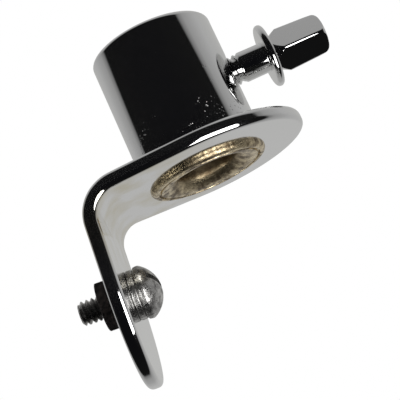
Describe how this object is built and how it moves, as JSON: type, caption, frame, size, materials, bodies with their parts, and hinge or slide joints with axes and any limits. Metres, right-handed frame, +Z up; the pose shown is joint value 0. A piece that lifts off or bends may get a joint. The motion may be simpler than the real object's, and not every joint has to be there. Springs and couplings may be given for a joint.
{
  "type": "stanchion base",
  "caption": "Upright round post socket riveted to a bent L plate, with a square-headed clamp screw through the socket wall and a slotted screw, washer and hex nut fixing the leg.",
  "frame": {"origin": "where the fixing screw's axis meets the outer face of the bracket's leg", "axes": "+Z up the socket's axis, +X from the leg towards the clamp screw, +Y across the bracket"},
  "size_m": [0.0665, 0.0416, 0.0635],
  "materials": {
    "bracket_plate": "bright chrome plate with light wear",
    "socket_barrel": "bright chrome plate with light pitting",
    "drain_rivet": "tarnished bare brass",
    "clamp_screw": "bright chrome plate",
    "fixing_screw": "worn plated steel",
    "washer": "worn plated steel",
    "hex_nut": "dark oxidised steel"
  },
  "bodies": {
    "bracket": {"bracket_plate": "bracket_plate", "socket_barrel": "socket_barrel", "drain_rivet": "drain_rivet", "washer": "washer"},
    "clamp_shank": {"clamp_screw_shank": "clamp_screw"},
    "clamp_head": {"clamp_screw_head": "clamp_screw"},
    "fixing": {"fixing_screw": "fixing_screw"},
    "nut": {"hex_nut": "hex_nut"}
  },
  "joints": [
    {"name": "clamp_travel", "type": "slide", "parent": "bracket", "child": "clamp_shank", "axis": [-1, 0, 0], "range_m": [-0.00127, 0.0028]},
    {"name": "clamp_turn", "type": "hinge", "parent": "clamp_shank", "child": "clamp_head", "pos_m": [0.04582, 0, 0.03284], "axis": [-1, 0, 0], "range_deg": [-361, 795]},
    {"name": "fixing_turn", "type": "hinge", "parent": "bracket", "child": "fixing", "pos_m": [0, 0, 0], "axis": [0.9969, 0, -0.0785], "range_deg": [0, 1498]},
    {"name": "nut_travel", "type": "slide", "parent": "bracket", "child": "nut", "axis": [-0.9969, 0, 0.0785], "range_m": [0, 0.0044]}
  ],
  "couplings": [
    {"joint": "clamp_turn", "follows": "clamp_travel", "rad_per_m": 4947.4},
    {"joint": "fixing_turn", "follows": "nut_travel", "rad_per_m": 5936.9}
  ]
}
